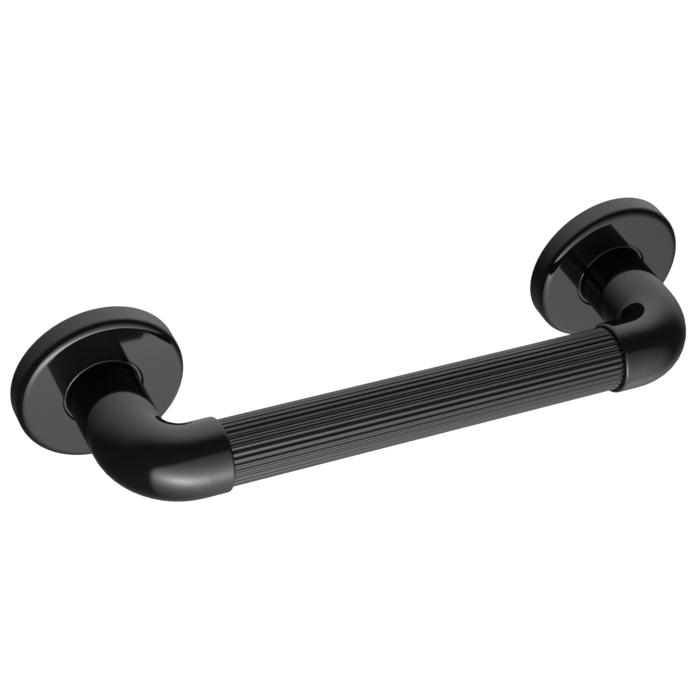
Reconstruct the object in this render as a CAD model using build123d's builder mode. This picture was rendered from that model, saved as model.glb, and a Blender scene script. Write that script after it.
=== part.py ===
from build123d import *
from math import cos, radians
import os

# Straight grab bar for a bathroom wall: a fluted tube, two elbows and two round covers.
# Lengths are in millimetres and angles in degrees.
# The wall is the plane Y = 0. The bar stands out from it towards -Y and runs along X, with Z up.
# The origin is on the wall, midway between the two elbows.

# Bar
fixing_centres = 305.0
bar_standoff = 75.0

# Fluted tube, measured over the ridges
tube_diameter = 34.5
tube_wall = 2.2
flute_count = 34
flute_depth = 0.54
ridge_radius = 1.08
flute_turn = -4.1

# Elbow, with a socket for the tube
bend_radius = 25.7
stop_setback = 1.0
stop_width = 2.4
socket_depth = 12.9
socket_clearance = 0.25
socket_wall = 1.9
mouth_land = 0.1

# Wall plate at the foot of each elbow
plate_thickness = 5.0
plate_clearance = 0.3
screw_count = 3
screw_turn = 60.0
screw_hole = 5.5
screw_head = 10.4
screw_head_angle = 90.0

# Collar round the foot of the neck, which centres the cover and stops short of its face
collar_width = 1.6
collar_setback = 1.15
collar_fillet = 0.8
collar_clearance = 0.5

# Cover
cover_diameter = 90.0
cover_depth = 13.5
cover_wall = 2.0
cover_face = 2.4
cover_edge_round = 4.4
cover_hole_round = 0.4

# Ribs inside the cover that stop against the wall plate
rib_count = 3
rib_length = 5.0
rib_thickness = 1.6

# Bead inside the cover that snaps into a groove round the wall plate
snap_height = 0.8
snap_clearance = 0.1

# Sizes and places that follow from those above
tube_radius = tube_diameter / 2
tube_bore_radius = tube_radius - flute_depth - tube_wall
socket_radius = tube_radius + socket_clearance
elbow_radius = socket_radius + socket_wall
elbow_bore_radius = socket_radius - stop_width
mouth_round = socket_wall - mouth_land
stop_reach = bend_radius + stop_setback
mouth_reach = stop_reach + socket_depth
tube_length = fixing_centres - 2 * stop_reach
neck_length = bar_standoff - bend_radius
cover_radius = cover_diameter / 2
cover_inner_radius = cover_radius - cover_wall
cover_inner_depth = cover_depth - cover_face
collar_radius = elbow_radius + collar_width
collar_height = cover_depth - collar_setback
cover_hole_radius = collar_radius + collar_clearance
plate_radius = cover_inner_radius - plate_clearance
screw_circle_radius = (collar_radius + plate_radius) / 2
snap_offset = plate_thickness / 2
snap_groove = snap_height - plate_clearance + snap_clearance

# Planes and axes of the left end
# The foot plane is the wall, and the profile planes hold sections through an axis
left_end = (-fixing_centres / 2, 0, 0)
left_corner = (-fixing_centres / 2, -bar_standoff, 0)
left_foot = Plane(left_end, x_dir=(1, 0, 0), z_dir=(0, -1, 0))
foot_profile = Plane(left_end, x_dir=(-1, 0, 0), z_dir=(0, 0, 1))
socket_profile = Plane(left_corner, x_dir=(1, 0, 0), z_dir=(0, 0, 1))
foot_axis = Axis(left_end, (0, -1, 0))
bar_axis = Axis(left_corner, (1, 0, 0))
bend_axis = Axis((bend_radius - fixing_centres / 2, -neck_length, 0), (0, 0, 1))

# The flutes are rounded ridges and grooves, arcs that run smoothly into each other
# The groove's radius follows from the ridge's radius, the depth and the pitch
flute_pitch = 360 / flute_count
pitch_cosine = cos(radians(flute_pitch / 2))
ridge_centre = tube_radius - ridge_radius
groove_floor = tube_radius - flute_depth
floor_distance_squared = ridge_centre**2 + groove_floor**2 - 2 * ridge_centre * groove_floor * pitch_cosine
groove_room = ridge_centre * pitch_cosine + ridge_radius - groove_floor
groove_radius = (floor_distance_squared - ridge_radius**2) / (2 * groove_room)
ridge_spot = Vector(ridge_centre, 0)
groove_spot = Vector(groove_floor + groove_radius, 0).rotate(Axis.Z, flute_pitch / 2)
ridge_end = ridge_spot + (groove_spot - ridge_spot) * (ridge_radius / (ridge_radius + groove_radius))
ridge_start = Vector(ridge_end.X, -ridge_end.Y)

with BuildPart() as fluted_tube:
    with BuildSketch(Plane((-tube_length / 2, -bar_standoff, 0), x_dir=(0, 1, 0), z_dir=(1, 0, 0))):
        with BuildLine():
            for flute in range(flute_count):
                ridge_angle = flute_turn + (flute + 0.5) * flute_pitch
                groove_angle = ridge_angle + flute_pitch / 2
                arc_start = ridge_start.rotate(Axis.Z, ridge_angle)
                ridge_top = Vector(tube_radius, 0).rotate(Axis.Z, ridge_angle)
                arc_join = ridge_end.rotate(Axis.Z, ridge_angle)
                groove_bottom = Vector(groove_floor, 0).rotate(Axis.Z, groove_angle)
                arc_end = ridge_start.rotate(Axis.Z, ridge_angle + flute_pitch)
                ThreePointArc(arc_start, ridge_top, arc_join)
                ThreePointArc(arc_join, groove_bottom, arc_end)
        make_face()
        Circle(tube_bore_radius, mode=Mode.SUBTRACT)
    extrude(amount=tube_length)

with BuildPart() as left_elbow:
    # Wall plate with its snap groove, the collar and the neck, as (radius, distance from the wall)
    with BuildSketch(foot_profile):
        with BuildLine():
            FilletPolyline(
                (elbow_bore_radius, 0),
                (plate_radius, 0),
                (plate_radius, snap_offset - snap_groove),
                (plate_radius - snap_groove, snap_offset),
                (plate_radius, snap_offset + snap_groove),
                (plate_radius, plate_thickness),
                (collar_radius, plate_thickness),
                (collar_radius, collar_height),
                (elbow_radius, collar_height),
                (elbow_radius, neck_length),
                (elbow_bore_radius, neck_length),
                radius=(0, 0, 0, 0, 0, 0, 0, 0, collar_fillet, 0, 0),
                close=True,
            )
        make_face()
    revolve(axis=foot_axis)
    # Bend from the neck to the line of the bar
    with BuildSketch(left_foot.offset(neck_length)):
        Circle(elbow_radius)
        Circle(elbow_bore_radius, mode=Mode.SUBTRACT)
    revolve(axis=bend_axis, revolution_arc=90)
    # Socket with the stop for the tube and a rounded mouth, as (distance from the foot axis, radius)
    with BuildSketch(socket_profile):
        with BuildLine():
            FilletPolyline(
                (bend_radius, elbow_bore_radius),
                (stop_reach, elbow_bore_radius),
                (stop_reach, socket_radius),
                (mouth_reach, socket_radius),
                (mouth_reach, elbow_radius),
                (bend_radius, elbow_radius),
                radius=(0, 0, 0, 0, mouth_round, 0),
                close=True,
            )
        make_face()
    revolve(axis=bar_axis)
    # Countersunk screw holes, none of them behind the bar
    with Locations(left_foot.offset(plate_thickness)):
        with PolarLocations(screw_circle_radius, screw_count, screw_turn):
            CounterSinkHole(screw_hole / 2, screw_head / 2, plate_thickness, screw_head_angle)

with BuildPart() as left_cover:
    # Cup with a hole for the collar and the snap bead, as (radius, distance from the wall)
    with BuildSketch(foot_profile):
        with BuildLine():
            FilletPolyline(
                (cover_inner_radius, 0),
                (cover_radius, 0),
                (cover_radius, cover_depth),
                (cover_hole_radius, cover_depth),
                (cover_hole_radius, cover_inner_depth),
                (cover_inner_radius, cover_inner_depth),
                (cover_inner_radius, snap_offset + snap_height),
                (cover_inner_radius - snap_height, snap_offset),
                (cover_inner_radius, snap_offset - snap_height),
                radius=(0, 0, cover_edge_round, cover_hole_round, 0, 0, 0, 0, 0),
                close=True,
            )
        make_face()
    revolve(axis=foot_axis)
    # Stop ribs, from the front of the wall plate to the inside of the cover
    with BuildSketch(left_foot.offset(plate_thickness)):
        with PolarLocations(cover_inner_radius - rib_length, rib_count):
            Rectangle(rib_length + cover_wall / 2, rib_thickness, align=(Align.MIN, Align.CENTER))
    extrude(amount=cover_inner_depth - plate_thickness)

# The right end is the left one turned round
with BuildPart() as right_elbow:
    mirror(left_elbow.part, about=Plane.YZ)

with BuildPart() as right_cover:
    mirror(left_cover.part, about=Plane.YZ)

fluted_tube.part.label = "fluted_tube"
left_elbow.part.label = "left_elbow"
right_elbow.part.label = "right_elbow"
left_cover.part.label = "left_cover"
right_cover.part.label = "right_cover"

os.makedirs("parts", exist_ok=True)
export_step(fluted_tube.part, "parts/fluted_tube.step")
export_step(left_elbow.part, "parts/left_elbow.step")
export_step(right_elbow.part, "parts/right_elbow.step")
export_step(left_cover.part, "parts/left_cover.step")
export_step(right_cover.part, "parts/right_cover.step")
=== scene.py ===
"""Looks of a black plastic grab bar: gloss finishes, studio light and the photograph's camera."""
import math

import bpy
from mathutils import Matrix, Vector

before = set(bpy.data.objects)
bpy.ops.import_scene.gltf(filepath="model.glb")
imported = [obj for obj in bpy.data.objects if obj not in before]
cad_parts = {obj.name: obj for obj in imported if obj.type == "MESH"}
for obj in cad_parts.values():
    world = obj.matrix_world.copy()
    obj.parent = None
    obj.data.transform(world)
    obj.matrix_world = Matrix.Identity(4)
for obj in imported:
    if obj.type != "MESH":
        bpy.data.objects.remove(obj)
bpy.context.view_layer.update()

# Lengths are in metres and angles in degrees
# A place is given by its azimuth, from the room's side round to the right, and its elevation above the floor

# The bar's own origin, on the wall midway between the elbows
bar_origin = Vector((0, 0, 0))

# Camera, found from the outlines of the covers and the bar in the photograph
camera_azimuth = -30.334
camera_elevation = 40.587
camera_roll = 7.771
camera_distance = 1.034398
camera_target = Vector((-0.020998, -0.02958, 0.005464))
camera_lens = 100.623

# Floor, well below the bar, which is made to be fixed to a wall
floor_level = -0.8
floor_reach = 40.0

# Brightness of the floor and the sky to the camera, enough for an even white
white = 1.06

# Light sheets: each is a glow on a flat square, cut off by soft edges
# A glow is strongest at its centre, spreads this far along X and Y, and fades faster with a higher power
# An edge lies at a distance from the middle of its sheet, in a direction in the sheet's plane

# Soft box in front of the bar, hottest low on its left, with a crisp left edge and a gabled top
front_azimuth = 0.0
front_elevation = 0.0
front_roll = -14.8
front_distance = 0.5
front_reach = 3.0
front_glow = {
    "strength": 11.81,
    "centre": (-0.205, -0.152, 0),
    "spread": (0.184, 0.085, 1),
    "power": 0.7371,
}
front_left_edge = {"direction": 193.4, "distance": 0.614, "softness": 0.051}
front_top_left_edge = {"direction": 133.5, "distance": 0.456, "softness": 0.058}
front_top_right_edge = {"direction": 89.9, "distance": 0.552, "softness": 0.043}
front_right_edge = {"direction": 33.7, "distance": 0.684, "softness": 0.337}

# Broad soft box above and behind the bar, tilted to face it, with a soft upper edge
back_azimuth = 165.0
back_elevation = 38.0
back_roll = 31.9
back_distance = 1.0
back_reach = 6.0
back_glow = {
    "strength": 1.678,
    "centre": (-0.039, 0.513, 0),
    "spread": (1.514, 1.825, 1),
    "power": 1.442,
}
back_top_edge = {"direction": 87.5, "distance": 0.659, "softness": 0.350}

# Light that the floor throws back, brightest in front and to the right, with a soft left edge
low_level = -0.79
low_reach = 4.0
low_glow = {
    "strength": 1.03,
    "centre": (0.569, -0.338, 0),
    "spread": (0.495, 0.363, 1),
    "power": 1.325,
}
low_left_edge = {"direction": 198.0, "distance": 0.389, "softness": 0.284}

# Dim light from all other sides
ambient = 0.0466

# In second and later reflections the light sheets are divided by this power of the count of reflections
reflection_power = 1.5

# Black plastic with a cool cast
plastic_colour = (0.0043, 0.0046, 0.0051, 1)
plastic_index = 1.5

# Noise levels that give the least and the most roughness, and the detail of the noises
patch_range = (0.3, 0.7)
patch_detail = 3.0
ripple_detail = 1.0

# Finishes: the least and the most roughness, waves to the metre of the patches of gloss and of the ripple
# along each axis, and the height of the ripple
moulded_finish = {
    "roughness": (0.05, 0.09),
    "patch": (45, 45, 45),
    "ripple": (170, 170, 170),
    "ripple_height": 0.000004,
}
extruded_finish = {
    "roughness": (0.04, 0.08),
    "patch": (6, 160, 160),
    "ripple": (5, 900, 900),
    "ripple_height": 0.000001,
}


def looking_at(target, azimuth, elevation, roll, distance):
    """Place of something that faces the target from here, with its X to the right and Y up as it looks."""
    a, e, r = (math.radians(angle) for angle in (azimuth, elevation, roll))
    back = Vector((math.sin(a) * math.cos(e), -math.cos(a) * math.cos(e), math.sin(e)))
    right = (-back).cross(Vector((0, 0, 1))).normalized()
    up = right.cross(-back)
    turned_right = right * math.cos(r) + up * math.sin(r)
    turned_up = up * math.cos(r) - right * math.sin(r)
    turn = Matrix((turned_right, turned_up, back)).transposed().to_4x4()
    return Matrix.Translation(target + back * distance) @ turn


def add_square(name, reach, place):
    """A flat square that reaches this far each way along its own X and Y."""
    mesh = bpy.data.meshes.new(name)
    corners = [(-reach, -reach, 0), (reach, -reach, 0), (reach, reach, 0), (-reach, reach, 0)]
    mesh.from_pydata(corners, [], [(0, 1, 2, 3)])
    square = bpy.data.objects.new(name, mesh)
    square.matrix_world = place
    bpy.context.scene.collection.objects.link(square)
    return square


def empty_material(name):
    material = bpy.data.materials.new(name)
    material.use_nodes = True
    material.node_tree.nodes.clear()
    return material


def maths(tree, operation, first, second=None):
    """Result of a maths node on a socket and, where the operation takes two, a number or another socket."""
    node = tree.nodes.new("ShaderNodeMath")
    node.operation = operation
    tree.links.new(first, node.inputs[0])
    if isinstance(second, bpy.types.NodeSocket):
        tree.links.new(second, node.inputs[1])
    elif second is not None:
        node.inputs[1].default_value = second
    return node.outputs[0]


def vector_maths(tree, operation, first, second):
    """Result of a vector maths node on a socket and a vector or another socket."""
    node = tree.nodes.new("ShaderNodeVectorMath")
    node.operation = operation
    tree.links.new(first, node.inputs[0])
    if isinstance(second, bpy.types.NodeSocket):
        tree.links.new(second, node.inputs[1])
    else:
        node.inputs[1].default_value = second
    return node.outputs["Value" if operation == "DOT_PRODUCT" else "Vector"]


def glow_level(tree, place, strength, centre, spread, power):
    """Light that is strongest at the centre and fades with distance from it."""
    offset = vector_maths(tree, "SUBTRACT", place, centre)
    scaled = vector_maths(tree, "DIVIDE", offset, spread)
    square = vector_maths(tree, "DOT_PRODUCT", scaled, scaled)
    fall = maths(tree, "POWER", maths(tree, "ADD", square, 1.0), -power)
    return maths(tree, "MULTIPLY", fall, strength)


def edge_level(tree, place, direction, distance, softness):
    """One on the near side of a straight edge and nought beyond it, with a soft change between."""
    angle = math.radians(direction)
    along = vector_maths(tree, "DOT_PRODUCT", place, (math.cos(angle), math.sin(angle), 0))
    past = maths(tree, "DIVIDE", maths(tree, "SUBTRACT", along, distance), softness)
    return maths(tree, "ADD", maths(tree, "MULTIPLY", maths(tree, "TANH", past), -0.5), 0.5)


def add_light_sheet(name, reach, matrix, glow, edges):
    """A flat glow, cut off by soft edges, that reflections see and the camera does not."""
    material = empty_material(name)
    tree = material.node_tree
    place = tree.nodes.new("ShaderNodeTexCoord").outputs["Object"]
    level = glow_level(tree, place, **glow)
    for edge in edges:
        level = maths(tree, "MULTIPLY", level, edge_level(tree, place, **edge))
    depth = tree.nodes.new("ShaderNodeLightPath").outputs["Ray Depth"]
    level = maths(tree, "DIVIDE", level, maths(tree, "POWER", depth, reflection_power))
    emission = tree.nodes.new("ShaderNodeEmission")
    tree.links.new(level, emission.inputs["Strength"])
    clear = tree.nodes.new("ShaderNodeBsdfTransparent")
    both = tree.nodes.new("ShaderNodeAddShader")
    tree.links.new(emission.outputs[0], both.inputs[0])
    tree.links.new(clear.outputs[0], both.inputs[1])
    output = tree.nodes.new("ShaderNodeOutputMaterial")
    tree.links.new(both.outputs[0], output.inputs["Surface"])
    sheet = add_square(name, reach, matrix)
    sheet.data.materials.append(material)
    sheet.visible_camera = False
    sheet.visible_shadow = False


def add_floor():
    """A plain floor that is white to the camera and that reflections do not see."""
    material = empty_material("floor")
    tree = material.node_tree
    emission = tree.nodes.new("ShaderNodeEmission")
    emission.inputs["Color"].default_value = (1, 1, 1, 1)
    emission.inputs["Strength"].default_value = white
    output = tree.nodes.new("ShaderNodeOutputMaterial")
    tree.links.new(emission.outputs[0], output.inputs["Surface"])
    floor = add_square("floor", floor_reach, Matrix.Translation((0, 0, floor_level)))
    floor.data.materials.append(material)
    floor.visible_glossy = False
    floor.visible_diffuse = False


def add_world():
    """A sky that is white to the camera and dim to everything else."""
    world = bpy.data.worlds.new("studio")
    world.use_nodes = True
    tree = world.node_tree
    seen = tree.nodes.new("ShaderNodeLightPath").outputs["Is Camera Ray"]
    background = tree.nodes["Background"]
    background.inputs["Color"].default_value = (1, 1, 1, 1)
    level = maths(tree, "MAXIMUM", maths(tree, "MULTIPLY", seen, white), ambient)
    tree.links.new(level, background.inputs["Strength"])
    bpy.context.scene.world = world


def add_camera():
    data = bpy.data.cameras.new("camera")
    data.lens = camera_lens
    camera = bpy.data.objects.new("camera", data)
    place = looking_at(camera_target, camera_azimuth, camera_elevation, camera_roll, camera_distance)
    camera.matrix_world = place
    bpy.context.scene.collection.objects.link(camera)
    bpy.context.scene.camera = camera


def noise(tree, place, scale, detail):
    """Smooth noise with this many waves to the metre along each axis."""
    texture = tree.nodes.new("ShaderNodeTexNoise")
    texture.inputs["Scale"].default_value = 1.0
    texture.inputs["Detail"].default_value = detail
    tree.links.new(vector_maths(tree, "MULTIPLY", place, scale), texture.inputs["Vector"])
    return texture.outputs["Fac"]


def black_plastic(name, roughness, patch, ripple, ripple_height):
    """Gloss black plastic with patches of slightly different gloss and a very fine ripple."""
    material = bpy.data.materials.new(name)
    material.use_nodes = True
    tree = material.node_tree
    shader = tree.nodes["Principled BSDF"]
    shader.inputs["Base Color"].default_value = plastic_colour
    shader.inputs["IOR"].default_value = plastic_index
    place = tree.nodes.new("ShaderNodeTexCoord").outputs["Object"]
    gloss = tree.nodes.new("ShaderNodeMapRange")
    gloss.inputs["From Min"].default_value, gloss.inputs["From Max"].default_value = patch_range
    gloss.inputs["To Min"].default_value, gloss.inputs["To Max"].default_value = roughness
    tree.links.new(noise(tree, place, patch, patch_detail), gloss.inputs["Value"])
    tree.links.new(gloss.outputs["Result"], shader.inputs["Roughness"])
    bump = tree.nodes.new("ShaderNodeBump")
    bump.inputs["Distance"].default_value = ripple_height
    tree.links.new(noise(tree, place, ripple, ripple_detail), bump.inputs["Height"])
    tree.links.new(bump.outputs["Normal"], shader.inputs["Normal"])
    return material


moulded = black_plastic("moulded_black", **moulded_finish)
extruded = black_plastic("extruded_black", **extruded_finish)
for name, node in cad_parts.items():
    node.data.materials.clear()
    node.data.materials.append(extruded if name == "fluted_tube" else moulded)

add_camera()
add_floor()
add_world()
front_place = looking_at(bar_origin, front_azimuth, front_elevation, front_roll, front_distance)
front_edges = (front_left_edge, front_top_left_edge, front_top_right_edge, front_right_edge)
add_light_sheet("front_box", front_reach, front_place, front_glow, front_edges)
back_place = looking_at(bar_origin, back_azimuth, back_elevation, back_roll, back_distance)
add_light_sheet("back_box", back_reach, back_place, back_glow, (back_top_edge,))
low_place = Matrix.Translation((0, 0, low_level))
add_light_sheet("low_glow", low_reach, low_place, low_glow, (low_left_edge,))
bpy.context.scene.view_settings.view_transform = "Standard"
